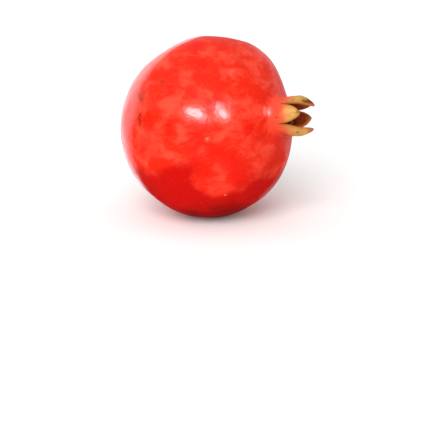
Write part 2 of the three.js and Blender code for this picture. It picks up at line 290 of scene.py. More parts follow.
class StageSettings(bpy.types.PropertyGroup):
    """The camera, the lights and the floor."""

    azimuth: bpy.props.FloatProperty(
        name="Azimuth", description="Where the camera stands round the fruit", subtype="ANGLE",
        unit="ROTATION", default=math.radians(28))
    elevation: bpy.props.FloatProperty(
        name="Elevation", description="How far the camera looks down", subtype="ANGLE", unit="ROTATION",
        default=math.radians(16))
    distance: measure("Distance", "From the camera to the fruit", 1.0, 0.3, 5)
    lens: bpy.props.FloatProperty(name="Lens", description="Focal length", unit="CAMERA", default=169.3)
    softboxes: level("Softboxes", "Power of the softboxes that the skin mirrors", 8.5, unit="POWER")
    panel: level("Rim panel", "Power of the panel that whitens the left rim", 18, unit="POWER")
    key: level("Key light", "Strength of the broad light in front", 2.15)
    top: level("Overhead light", "Strength of the broad, even light above", 1.1)
    front: level("Room in front", "Brightness of the room behind the camera", 0.05)
    back: level("Backdrop", "Brightness of the white room behind the fruit", 0.42)
    floor: colour("#FBFBFA", "the floor")


def smooth(value, low, high):
    """0 up to low and 1 from high on, with a soft run between them."""
    share = np.clip((value - low) / (high - low), 0.0, 1.0)
    return share * share * (3.0 - 2.0 * share)


def place(along, radius, angle):
    """Points in the fruit's frame. angle: radians round the axis, from -Y towards +Z."""
    along, radius, angle = np.broadcast_arrays(along, radius, angle)
    return np.stack((along, -radius * np.cos(angle), radius * np.sin(angle)), axis=-1)


def on_body(angle):
    return np.array((BODY_HALF_LENGTH * np.cos(angle), BODY_RADIUS * np.sin(angle)))


def towards_crown(angle):
    run = np.array((BODY_HALF_LENGTH * np.sin(angle), -BODY_RADIUS * np.cos(angle)))
    return run / np.linalg.norm(run)


def run_along(points):
    """How far along a line of points each one lies."""
    return np.concatenate(((0,), np.cumsum(np.linalg.norm(np.diff(points, axis=0), axis=1))))


def bezier(points, steps):
    """Evenly spaced points along a cubic curve, both ends included."""
    share = np.linspace(0, 1, 400)[:, None]
    start, first, second, end = (np.asarray(point, float) for point in points)
    curve = (start * (1 - share) ** 3 + 3 * first * share * (1 - share) ** 2
             + 3 * second * share ** 2 * (1 - share) + end * share ** 3)
    run = run_along(curve)
    wanted = np.linspace(0, run[-1], steps + 1)
    return np.stack([np.interp(wanted, run, curve[:, axis]) for axis in (0, 1)], axis=1)


def outer_profile():
    """The outside, from the middle of the cut face, which is left out, to where the sepals begin."""
    dimple_x = STUB["dimple"] - BODY_HALF_LENGTH
    cut_x = dimple_x - STUB["length"]
    cut_radius = STUB["radius"] - STUB["bevel"]
    cut = [(cut_x, cut_radius * step / ROWS["cut"]) for step in range(1, ROWS["cut"] + 1)]
    shoulder = on_body(SHOULDER)
    dimple = bezier(((cut_x + STUB["bevel"], STUB["radius"]), (dimple_x + DIMPLE_PULL[1], STUB["radius"]),
                     shoulder - DIMPLE_PULL[0] * towards_crown(SHOULDER), shoulder), ROWS["dimple"])
    body = [on_body(angle) for angle in np.linspace(SHOULDER, NECK, ROWS["body"] + 1)[1:-1]]
    tube = bezier((on_body(NECK), on_body(NECK) + NECK_PULL[0] * towards_crown(NECK),
                   (SPLIT_X - NECK_PULL[1], TUBE_RADIUS), (SPLIT_X, TUBE_RADIUS)), ROWS["neck"])
    return np.concatenate((cut, dimple, body, tube))


def cup_profile(top_x, gap):
    """The inside of the tube from top_x towards the middle of its floor, which is left out."""
    corner_x = CUP["floor"] + CUP["fillet"]
    corner_radius = CUP["radius"] - CUP["fillet"]
    size = CUP["fillet"] - gap
    wall = [(top_x + (corner_x - top_x) * row / ROWS["wall"], CUP["radius"] - gap)
            for row in range(ROWS["wall"])]
    turns = np.linspace(0, math.pi / 2, ROWS["fillet"] + 1)
    fillet = [(corner_x - size * math.sin(turn), corner_radius + size * math.cos(turn)) for turn in turns]
    floor = [(CUP["floor"] + gap, corner_radius * (1 - row / ROWS["floor"]))
             for row in range(1, ROWS["floor"])]
    return np.array(wall + fillet + floor)


def half_thickness(share):
    return (TUBE_WALL / 2) * (1 - TIP_THINNING * share ** 1.5)


def heading(sepal, share):
    """The direction that a sepal runs in at a share of its length, as radians outwards from the axis."""
    flare = sepal["flare"] * smooth(share, 0, FLARE_SHARE)
    return np.radians(flare + sepal["curl"] * smooth(share, *sepal["bend"]))


def spine(sepal, distance):
    """The middle of a sepal's thickness at a distance from its root, as (along the axis, radius)."""
    along = np.full_like(distance, SPLIT_X)
    radius = np.full_like(distance, TUBE_RADIUS - TUBE_WALL / 2)
    for step in range(SPINE_STEPS):
        direction = heading(sepal, ((step + 0.5) / SPINE_STEPS) * (distance / sepal["length"]))
        along = along + np.cos(direction) * distance / SPINE_STEPS
        radius = radius + np.sin(direction) * distance / SPINE_STEPS
    return along, radius


def outline(sepal, position):
    """A sepal's outline from one notch (-1) over the tip (0) to the next notch (1)."""
    rise = np.maximum(0, 1 - np.abs(position) ** TIP_SPREAD)
    width = (1 - rise ** sepal["taper"]) ** sepal["blunt"]
    across = np.sign(position) * width + sepal["lean"] * rise ** 2
    return width, across, NOTCH_RISE + (sepal["length"] - NOTCH_RISE) * rise


def sepal_skin(sepal, position, middle, reach, turn):
    """A row of a sepal's skin. reach: 0 at its root, 1 at its edge. turn: degrees round its edge."""
    half_span = math.radians(sepal["span"] / 2)
    half_width = half_span * (TUBE_RADIUS - TUBE_WALL / 2)
    width, edge_across, edge_distance = outline(sepal, position)
    _, before_across, before_distance = outline(sepal, position - EDGE_STEP)
    _, after_across, after_distance = outline(sepal, position + EDGE_STEP)
    run_x = (after_across - before_across) * half_width
    run_y = after_distance - before_distance
    at_notch = smooth(np.abs(position), NOTCH_SHARE, 1)
    sideways = (-run_y / np.hypot(run_x, run_y)) * (1 - at_notch)
    outwards = np.sqrt(1 - sideways ** 2)
    share = edge_distance / sepal["length"]
    inset = half_thickness(share) * (1 - math.cos(math.radians(turn)))
    shift = np.minimum(np.abs(sideways * inset) / half_width, EDGE_ROOM * width)
    distance = (edge_distance - outwards * inset) * reach
    across = position + (edge_across - np.sign(sideways) * shift - position) * reach
    along, radius = spine(sepal, distance)
    direction = heading(sepal, distance / sepal["length"])
    offset = half_thickness(share * reach) * math.sin(math.radians(turn))
    points = place(along - np.sin(direction) * offset, radius + np.cos(direction) * offset,
                   middle + across * half_span)
    return points, distance


def swell(points):
    """The body's swellings and hollows."""
    direction = points / np.linalg.norm(points, axis=-1, keepdims=True)
    height = np.zeros(points.shape[:-1])
    for towards, rise, width in SWELLINGS:
        towards = np.array(towards) / np.linalg.norm(towards)
        away = np.degrees(np.arccos(np.clip(direction @ towards, -1, 1)))
        height += rise * np.exp(-((away / width) ** 2))
    height *= 1 - smooth(points[..., 0], *SWELLING_FADE)
    return points + direction * height[..., None]


def nod(points):
    """The crown's nod, about a line across the axis where the bend starts."""
    bend = NOD * smooth(points[..., 0], *NOD_SPAN)
    x, y, z = points[..., 0] - NOD_SPAN[0], points[..., 1], points[..., 2]
    return np.stack((x * np.cos(bend) + z * np.sin(bend) + NOD_SPAN[0], y,
                     z * np.cos(bend) - x * np.sin(bend)), axis=-1)


def press(points):
    """The flat spot: what would reach below it is pressed up to it."""
    up = np.array((math.sin(TILT), 0, math.cos(TILT)))
    height = points @ up + REST_DISTANCE
    pressed = np.maximum(0, height + REST_BLEND) ** 2 / (4 * REST_BLEND)
    lift = np.where(height < REST_BLEND, pressed - height, 0)
    return points + lift[..., None] * up


def lay_down(points):
    """From the fruit's frame in millimetres to the model's frame in metres."""
    x, y, z = points[..., 0], points[..., 1], points[..., 2]
    laid = np.stack((x * math.cos(TILT) - z * math.sin(TILT), y,
                     x * math.sin(TILT) + z * math.cos(TILT) + REST_DISTANCE), axis=-1)
    return laid * MM


def cloud(points, size, seed):
    """Smooth noise from about -1 to 1 at each point, with lumps of that size in millimetres."""
    scaled = points.reshape(-1, 3) / size + (17.3 * seed, 5.1 * seed, 9.7 * seed)
    return np.array([noise.noise(point) for point in scaled.tolist()]).reshape(points.shape[:-1])


def grid_normals(grid):
    """Outward normals of a grid of rows and columns that closes round its columns."""
    along = np.gradient(grid, axis=0)
    around = np.roll(grid, -1, axis=1) - np.roll(grid, 1, axis=1)
    normals = np.cross(along, around)
    return normals / np.maximum(np.linalg.norm(normals, axis=-1, keepdims=True), 1e-9)


def with_poles(grid):
    """The points of such a grid, and then a pole in the middle of either end."""
    return np.concatenate((grid.reshape(-1, 3), [grid[0].mean(axis=0), grid[-1].mean(axis=0)]))


def grid_faces(rows, columns):
    """Faces of such a grid, with a fan to the pole at either end."""
    row, column = np.meshgrid(np.arange(rows - 1), np.arange(columns), indexing="ij")
    after = (column + 1) % columns
    quads = np.stack((row * columns + column, (row + 1) * columns + column, (row + 1) * columns + after,
                      row * columns + after), axis=-1).reshape(-1, 4)
    first, last = rows * columns, rows * columns + 1
    around = np.arange(columns)
    turned = (around + 1) % columns
    start = np.stack((np.full(columns, first), around, turned), axis=-1)
    end = np.stack((np.full(columns, last), (rows - 1) * columns + turned,
                    (rows - 1) * columns + around), axis=-1)
    return quads.tolist() + start.tolist() + end.tolist()


def linked(name, data):
    """A new object that shows the data, linked into the scene."""
    thing = bpy.data.objects.new(name, data)
    bpy.context.scene.collection.objects.link(thing)
    return thing


def new_piece(name, points, faces, materials):
    """A smooth piece, linked into the scene where its points are."""
    mesh = bpy.data.meshes.new(name)
    mesh.from_pydata(points.tolist(), [], faces)
    mesh.shade_smooth()
    for material in materials:
        mesh.materials.append(material)
    return linked(name, mesh)


def add_node(tree, kind, links=None, **settings):
    """A node with its settings. links: each input's value, or the socket or node that feeds it."""
    node = tree.nodes.new(kind)
    node.location.x = 180 * len(tree.nodes)
    for name, value in settings.items():
        setattr(node, name, value)
    for key, value in (links or {}).items():
        if isinstance(value, bpy.types.Node):
            value = value.outputs[0]
        if isinstance(value, bpy.types.NodeSocket):
            tree.links.new(value, node.inputs[key])
        else:
            node.inputs[key].default_value = value
    return node


# Sockets of the colour Mix node
FACTOR, FIRST, SECOND, MIXED = 0, 6, 7, 2

# What the rind's mesh says about each point: how far above the sepals' roots it is in millimetres, whether
# it is inside the crown, on a sepal's edge, on a browned tip or on the stub, and how far it is from the
# middle of the stub's cut face in millimetres
ATTRIBUTES = ("rise", "inside", "edge", "browned", "stub", "from_cut")


def opaque(rgb):
    """A colour that covers all, from three linear values or from a #RRGGBB code."""
    return (*(linear(rgb) if isinstance(rgb, str) else rgb), 1.0)


def new_material(name):
    """A new material and its empty node tree."""
    material = bpy.data.materials.new(name)
    material.use_nodes = True
    material.node_tree.nodes.clear()
    return material, material.node_tree


def add_shader(tree, inputs):
    """The end of a material: its shader, with what feeds it, and its output."""
    shader = add_node(tree, "ShaderNodeBsdfPrincipled", inputs)
    add_node(tree, "ShaderNodeOutputMaterial", {"Surface": shader})


def mark_frame(from_crown, round_axis):
    """Where a mark sits on the laid-down skin, in metres, and the turn of its own axes, which run along the
    fruit, round it and out of it."""
    from_crown, round_axis = math.radians(from_crown), math.radians(round_axis)
    spots = [swell(place(*on_body(from_crown + away), round_axis + sideways))
             for away, sideways in ((0, 0), (-0.01, 0), (0, 0.01))]
    spot, ahead, aside = (Vector(lay_down(point)) for point in spots)
    along = (ahead - spot).normalized()
    out = along.cross(aside - spot).normalized()
    return spot, Matrix((along, out.cross(along), out)).transposed().to_euler()


def blob(tree, coordinates, spot, turn, radii, strength, softness):
    """How far a blob covers each point, from 0 to its strength. spot: in metres. radii: in millimetres."""
    centred = add_node(tree, "ShaderNodeMapping", {
        "Vector": coordinates, "Location": spot, "Rotation": turn,
        "Scale": [radius * MM for radius in radii]}, vector_type="TEXTURE")
    away = add_node(tree, "ShaderNodeVectorMath", {0: centred}, operation="LENGTH")
    return add_node(tree, "ShaderNodeMapRange", {
        "Value": away.outputs["Value"], "From Min": 1.15, "From Max": 1.0 - 0.75 * softness,
        "To Max": strength}, interpolation_type="SMOOTHSTEP")


def oval(tree, coordinates, from_crown, round_axis, across, along, strength, softness):
    """How far an oval that lies on the skin covers each point."""
    spot, turn = mark_frame(from_crown, round_axis)
    radii = (along, across, 1.5 + 0.5 * max(across, along))
    return blob(tree, coordinates, spot, turn, radii, strength, softness)


def paint(tree, layers, base):
    """Colours laid over a base colour, each where its cover says."""
    for cover, layer in layers:
        base = add_node(tree, "ShaderNodeMix", {FACTOR: cover, FIRST: base, SECOND: layer},
                        data_type="RGBA").outputs[MIXED]
    return base


def middle_of(number):
    """The middle of a sepal, as radians round the axis."""
    before = sum(sepal["span"] for sepal in SEPALS[:number])
    return math.radians(FIRST_NOTCH + before + SEPALS[number]["span"] / 2)


def crown_place(number, position, reach):
    """A place on the outside of a sepal, on the laid-down crown, in metres."""
    points, _ = sepal_skin(SEPALS[number], np.array([position]), middle_of(number), reach, 90)
    return lay_down(nod(points))[0]


def rind_material(looks):
    """Fresh pomegranate rind: leathery and waxed, so red with a soft gloss, pale mottles and fine pores.
    Towards the crown it dries to a tan, matt husk with a fine grain along each sepal, dark inside."""
    material, tree = new_material("Waxy pomegranate rind")
    coordinates = add_node(tree, "ShaderNodeTexCoord").outputs["Object"]
    rise, inside, edge, browned, stub, from_cut = (
        add_node(tree, "ShaderNodeAttribute", attribute_name=name).outputs["Fac"] for name in ATTRIBUTES)
    grain_place = add_node(tree, "ShaderNodeAttribute", attribute_name="grain").outputs["Vector"]
    # The mottles are wider than they are high
    stretched = add_node(tree, "ShaderNodeMapping", {"Vector": coordinates, "Scale": (0.65, 0.65, 1)})

    # Noises: where each is read, the size of its lumps there, its detail, roughness and distortion. The
    # grain's place is in millimetres. Real pores are finer, and these are as coarse as they must be to show
    noises = {}
    for name, where, lumps, detail, roughness, distortion in (
            ("blotches", stretched, looks.mottle, 2.6, 0.5, 0.35),
            ("streaks", stretched, looks.mottle / 4.5, 2, 0.6, 0),
            ("broad", coordinates, looks.mottle / 0.42, 3, 0.5, 0),
            ("wobble", coordinates, 2.381 * MM, 2, 0.5, 0),
            ("russet", coordinates, 4.167 * MM, 4, 0.5, 0),
            ("patches", coordinates, 3.846 * MM, 3, 0.6, 0),
            ("grain", grain_place, 0.5882, 4, 0.6, 0),
            ("fibres", coordinates, 0.5556 * MM, 3, 0.5, 0),
            ("pores", coordinates, 0.8696 * MM, 2, 0.5, 0),
            ("soft", coordinates, 1.5385 * MM, 1, 0.5, 0)):
        noises[name] = add_node(tree, "ShaderNodeTexNoise", {
            "Vector": where, "Scale": 1 / lumps, "Detail": detail, "Roughness": roughness,
            "Distortion": distortion}).outputs
    blended = add_node(tree, "ShaderNodeMix", {
        0: 0.26, 2: noises["blotches"]["Fac"], 3: noises["streaks"]["Fac"]})
    cells = add_node(tree, "ShaderNodeTexVoronoi", {"Vector": coordinates, "Scale": 1 / (1.923 * MM)})

    # Places moved by up to 0.8 and 4 mm, which makes the edges of marks ragged
    moved = {}
    for name, amount in (("wobble", 0.0016), ("russet", 0.008)):
        centred = add_node(tree, "ShaderNodeVectorMath", {0: noises[name]["Color"], 1: (0.5, 0.5, 0.5)},
                           operation="SUBTRACT")
        moved[name] = add_node(tree, "ShaderNodeVectorMath", {
            0: centred, 1: (amount, amount, amount), 2: coordinates}, operation="MULTIPLY_ADD")

    # Values made uneven by a noise: the noise, its weight and the value. height runs up a slanted line
    height = add_node(tree, "ShaderNodeVectorMath", {0: coordinates, 1: (-0.117, 0.221, 1.0)},
                      operation="DOT_PRODUCT").outputs["Value"]
    uneven = {}
    for name, noise_name, weight, value in (
            ("low", "broad", -0.036, height), ("rise", "patches", 5.0, rise),
            ("tip", "patches", 1.1, browned), ("faded", "patches", 12.0, rise),
            ("collar", "russet", 11.0, from_cut)):
        uneven[name] = add_node(tree, "ShaderNodeMath", {
            0: noises[noise_name]["Fac"], 1: weight, 2: value}, operation="MULTIPLY_ADD")
    # The painted shade's upper edge, dipped and raised by the waves
    raised = uneven["low"]
    for wave in PAINTED_SHADE_WAVES:
        raised = add_node(tree, "ShaderNodeMath", {0: raised, 1: oval(tree, coordinates, *wave)},
                          operation="ADD")

    # How far each colour covers: the value it goes by, where it starts, where it is full, and its strength
    cover = {}
    for name, value, start, full, strength in (
            ("pale", blended, 0.42, 0.63, 1), ("rich", noises["broad"]["Fac"], 0.5, 0.66, 0.8),
            ("low", raised, 0.010, -0.001, 1), ("painted_contact_shade", uneven["low"], -0.012, -0.025, 1),
            ("dots", cells.outputs["Distance"], 0.24, 0.08, 0.12),
            ("root", uneven["rise"], -3.0, 6.0, 0.85), ("calyx", uneven["rise"], 5.5, 13.5, 1),
            ("tip", uneven["tip"], 0.8, 1.35, 1), ("faded", uneven["faded"], 13.0, 21.0, 0.85),
            ("collar", uneven["collar"], 15.5, 9.5, 0.8), ("cut", from_cut, 2.3, 1.6, 1)):
        cover[name] = add_node(tree, "ShaderNodeMapRange", {
            "Value": value, "From Min": start, "From Max": full, "To Max": strength},
            interpolation_type="SMOOTHSTEP")

    # What follows a noise directly: the shade of husk, inside and wood, and the roughness of the wax
    follows = {}
    for name, noise_name, least, most in (("husk", "grain", 0.72, 1.08), ("inside", "grain", 0.6, 1.5),
                                          ("wood", "fibres", 0.55, 1.25), ("wax", "blotches", 0.36, 0.46)):
        follows[name] = add_node(tree, "ShaderNodeMapRange", {
            "Value": noises[noise_name]["Fac"], "From Min": 0.3, "From Max": 0.7, "To Min": least,
            "To Max": most})
    # Husk is tan, the inside fades towards the tips, and the stub's wood has dark bark round a pale cut
    husk, inner, wood = (
        add_node(tree, "ShaderNodeMix", {FACTOR: 1.0, FIRST: base, SECOND: follows[name]},
                 data_type="RGBA", blend_type="MULTIPLY").outputs[MIXED]
        for name, base in (
            ("husk", opaque(looks.calyx)),
            ("inside", paint(tree, [(cover["faded"], opaque(looks.faded))], opaque(looks.inside))),
            ("wood", paint(tree, [(cover["cut"], opaque(looks.stub))], opaque(looks.bark)))))

    # The colours, from the red skin up: mottles, richer patches and deep red low down, painted shade of the
    # underside that is darkest next to the ground, with a ragged upper edge that dips and rises. Then the
    # marks, and lenticels, which are tiny pale dots about 2 mm apart
    layers = [(cover[name], opaque(getattr(looks, name))) for name in ("pale", "rich", "low", "painted_contact_shade")]
    layers += [(oval(tree, moved["russet" if min(across, along) >= RAGGED_FROM else "wobble"], from_crown,
                     round_axis, across, along, strength, softness), opaque(code))
               for from_crown, round_axis, across, along, code, strength, softness in MARKS]
    layers += [(cover["dots"], opaque("#F58A5A"))]
    # The tube keeps some red, the sepals dry to tan, and their tips brown
    layers += [(cover["root"], opaque(looks.root)), (cover["calyx"], husk),
               (cover["tip"], opaque(looks.tip)), (edge, opaque(looks.rim)), (inside, inner)]
    layers += [(blob(tree, moved["wobble"], crown_place(number, position, reach), (0, 0, 0), (radius,) * 3,
                     strength, 0.9), opaque(code))
               for number, position, reach, radius, code, strength in CROWN_MARKS]
    # The russet collar on the skin, and the stub
    layers += [(cover["collar"], opaque(looks.collar)), (stub, wood)]

    # Gloss: waxy skin, a drier tube, and matt husk
    dryness = add_node(tree, "ShaderNodeMath", {0: cover["calyx"], 1: inside}, operation="MAXIMUM")
    drier = add_node(tree, "ShaderNodeMath", {0: dryness, 1: stub}, operation="MAXIMUM")
    roughness = add_node(tree, "ShaderNodeMix", {0: drier, 2: follows["wax"], 3: 0.72})
    coat = add_node(tree, "ShaderNodeMapRange", {"Value": drier, "To Min": 0.3, "To Max": 0.02})

    # Relief too fine for the mesh: pores, soft dimples 1.5 mm apart, and the grain of the husk
    pitting = add_node(tree, "ShaderNodeBump", {
        "Height": noises["pores"]["Fac"], "Strength": 0.6, "Distance": 0.06 * MM})
    dimpled = add_node(tree, "ShaderNodeBump", {
        "Height": noises["soft"]["Fac"], "Strength": 0.6, "Distance": 0.11 * MM, "Normal": pitting})
    ridges = add_node(tree, "ShaderNodeMath", {0: noises["grain"]["Fac"], 1: drier}, operation="MULTIPLY")
    grained = add_node(tree, "ShaderNodeBump", {
        "Height": ridges, "Strength": 0.7, "Distance": 0.6 * MM, "Normal": dimpled})
    add_shader(tree, {
        "Base Color": paint(tree, layers, opaque(looks.skin)), "Roughness": roughness, "Normal": grained,
        "Coat Weight": coat, "Coat Normal": dimpled, "Coat Roughness": 0.18, "Specular IOR Level": 0.02})
    return material


def make_rind(looks):
    """The whole skin as one closed surface, from the stub over the body to the floor of the calyx tube."""
    position = 2 * np.arange(COLUMNS_PER_SEPAL) / COLUMNS_PER_SEPAL - 1
    middles = [middle_of(number) for number in range(len(SEPALS))]
    angles = np.concatenate([middle + position * math.radians(sepal["span"] / 2)
                             for sepal, middle in zip(SEPALS, middles)])
    rows, told = [], []

    def add_row(points, *values):
        """A row of points, with its rise, inside, edge, browned and stub."""
        rows.append(points)
        told.append([np.broadcast_to(value, len(angles)) for value in values])

    profile = outer_profile()
    run = run_along(profile)
    # The bark fades out over the last millimetres down the stub
    stub_run = STUB["length"] + STUB["radius"]
    for (along, radius), covered in zip(profile, run):
        stalk = 1 - smooth(covered, stub_run - 1.4, stub_run + 0.4)
        add_row(place(along, radius, angles), covered - run[-1], 0, 0, 0, stalk)

    dry = np.concatenate([sepal["browned"] * (1 - np.abs(position) ** 3) for sepal in SEPALS])

    def add_sepals(reach, turn, within, rim):
        """A row across all sepals, with the same arguments as sepal_skin."""
        made = [sepal_skin(sepal, position, middle, reach, turn) for sepal, middle in zip(SEPALS, middles)]
        distance = np.concatenate([distance for _, distance in made])
        share = np.concatenate([distance / sepal["length"] for (_, distance), sepal in zip(made, SEPALS)])
        add_row(np.concatenate([points for points, _ in made]), distance, within, rim,
                dry * smooth(share, 0.5, 0.98), 0)

    # Up the outside, round the edge, where its colour comes up too, and down the inside
    for row in range(1, ROWS["sepal"] + 1):
        add_sepals(row / ROWS["sepal"], 90, 0, 0.35 * smooth(row / ROWS["sepal"], 0.9, 1))
    for row in range(1, ROWS["edge"] + 1):
        turned = row / (ROWS["edge"] + 1)
        add_sepals(1, 90 - 180 * turned, smooth(turned, 0.5, 1), 0.35 + 0.65 * smooth(turned, 0, 0.4))
    for row in range(ROWS["sepal"] + 1):
        add_sepals(1 - row / ROWS["sepal"], -90, 1, 0)
    for along, radius in cup_profile(SPLIT_X, 0)[1:]:
        add_row(place(along, radius, angles), along - SPLIT_X, 1, 0, 0, 0)

    plain = np.array(rows)
    rise, inside, edge, browned, stub = np.array(told, float).transpose(1, 0, 2)
    from_cut = np.where(inside > 0, FAR, rise + run[-1] + profile[0, 1])
    shaped = nod(swell(plain))

    # Relief: soft unevenness and dimples on the body, wrinkles along the sepals, and rough bark
    on_skin = (1 - inside) * (1 - smooth(rise, -6, 0)) * (1 - stub)
    on_husk = smooth(rise, -2, 4)
    turned = np.broadcast_to(angles, rise.shape)
    grain = np.stack((TUBE_RADIUS * np.cos(turned), TUBE_RADIUS * np.sin(turned), rise * GRAIN_SQUASH),
                     axis=-1)
    relief = on_skin * (looks.unevenness / MM * (cloud(plain, 11, 1) + 0.12 * cloud(plain, 5, 2))
                        + looks.dimples / MM * cloud(plain, 2.2, 3))
    relief += on_husk * (WRINKLES[0] * cloud(grain, WRINKLES[1], 4)
                         + BUCKLES[0] * cloud(shaped, BUCKLES[1], 5) * (1 - edge))
    relief += stub * BARK_RELIEF * cloud(plain, 0.8, 6)
    shaped = press(shaped + grid_normals(shaped) * relief[..., None])

    points = lay_down(with_poles(shaped))
    piece = new_piece("rind", points, grid_faces(*rise.shape), [rind_material(looks)])
    poles = ((rise[0, 0], rise[-1, 0]), (0, 1), (0, 0), (0, 0), (1, 0), (0, FAR))
    for name, values, ends in zip(ATTRIBUTES, (rise, inside, edge, browned, stub, from_cut), poles):
        attribute = piece.data.attributes.new(name, "FLOAT", "POINT")
        attribute.data.foreach_set("value", np.concatenate((values.ravel(), ends)).astype(np.float32))
    attribute = piece.data.attributes.new("grain", "FLOAT_VECTOR", "POINT")
    ends = [(0, 0, end * GRAIN_SQUASH) for end in poles[0]]
    vectors = np.concatenate((grain.reshape(-1, 3), ends))
    attribute.data.foreach_set("vector", vectors.ravel().astype(np.float32))
    return piece


def husk_material(name, base, dark, spacing):
    """Dry plant fibre: matt, and unevenly brown. spacing: millimetres from one dark patch to the next."""
    material, tree = new_material(name)
    coordinates = add_node(tree, "ShaderNodeTexCoord").outputs["Object"]
    fibres = add_node(tree, "ShaderNodeTexNoise", {
        "Vector": coordinates, "Scale": 1 / (spacing * MM), "Detail": 3, "Roughness": 0.6}).outputs["Fac"]
    share = add_node(tree, "ShaderNodeMapRange", {"Value": fibres, "From Min": 0.35, "From Max": 0.65},
                     interpolation_type="SMOOTHSTEP")
    rough = add_node(tree, "ShaderNodeBump", {"Height": fibres, "Strength": 0.5, "Distance": 0.3 * MM})
    add_shader(tree, {"Base Color": paint(tree, [(share, opaque(base))], opaque(dark)), "Normal": rough,
                      "Roughness": 0.85, "IOR": 1.4})
    return material


def turned_grid(profile, sides):
    """A profile of (along the axis, radius) turned about the fruit's axis."""
    angles = np.linspace(0, 2 * math.pi, sides, endpoint=False)
    return np.array([place(along, radius, angles) for along, radius in profile])


def tuft_base():
    """The lining of the tube and the style in its middle, as points, faces and material numbers."""
    top_x = CUP["floor"] + GAP + LINING["height"]
    floor_x = CUP["floor"] + GAP + LINING["floor"]
    inner = CUP["radius"] - GAP - LINING["wall"]
    fillet = LINING["fillet"]
    inside = [(floor_x, inner * share) for share in (0.2, 0.4, 0.6)]
    inside += [(floor_x, inner - fillet), (floor_x + 0.3 * fillet, inner - 0.3 * fillet),
               (floor_x + fillet, inner)]
    inside += [(floor_x + fillet + (top_x - floor_x - fillet) * step / 6, inner) for step in range(1, 7)]
    lining = turned_grid(np.concatenate((inside, cup_profile(top_x, GAP))), LINING["sides"])
    # The lining's upper edge is ragged, and its floor is uneven by a quarter of a millimetre
    within = np.hypot(lining[..., 1], lining[..., 2]) < inner + 0.5
    ragged = smooth(lining[..., 0], floor_x, top_x) * within
    lining[..., 0] -= 0.9 * ragged * (0.5 + 0.5 * cloud(lining * (0, 1, 1), 1.1, 7))
    on_floor = (lining[..., 0] < floor_x + 0.2) * (lining[..., 0] > floor_x - 0.2)
    lining[..., 0] += 0.25 * (1 - ragged) * on_floor * cloud(lining, 0.9, 8)

    foot_x = floor_x - LINING["floor"] / 2
    end_x = foot_x + STYLE["length"]
    radius, stigma, head = STYLE["radius"], STYLE["stigma"], STYLE["stigma_length"]
    stem = [(foot_x + (end_x - head - foot_x) * step / 8, radius * (1.25 - 0.25 * min(1, step / 4)))
            for step in range(9)]
    cap = [(end_x - below * head, width * stigma)
           for below, width in ((0.75, 0.75), (0.5, 1), (0.3, 0.98), (0.12, 0.8), (0, 0.45))]
    style = turned_grid(np.array(stem + cap), STYLE["sides"])
    style[..., 1:] *= (1 + 0.22 * cloud(style, 0.8, 9))[..., None]

    points, faces, numbers = [], [], []
    for grid, flip, number in ((lining, True, 0), (style, False, 1)):
        start = sum(len(group) for group in points)
        points.append(with_poles(grid))
        made = grid_faces(*grid.shape[:2])
        faces += [[start + corner for corner in (reversed(face) if flip else face)] for face in made]
        numbers += [number] * len(made)
    return np.concatenate(points) * MM, faces, numbers


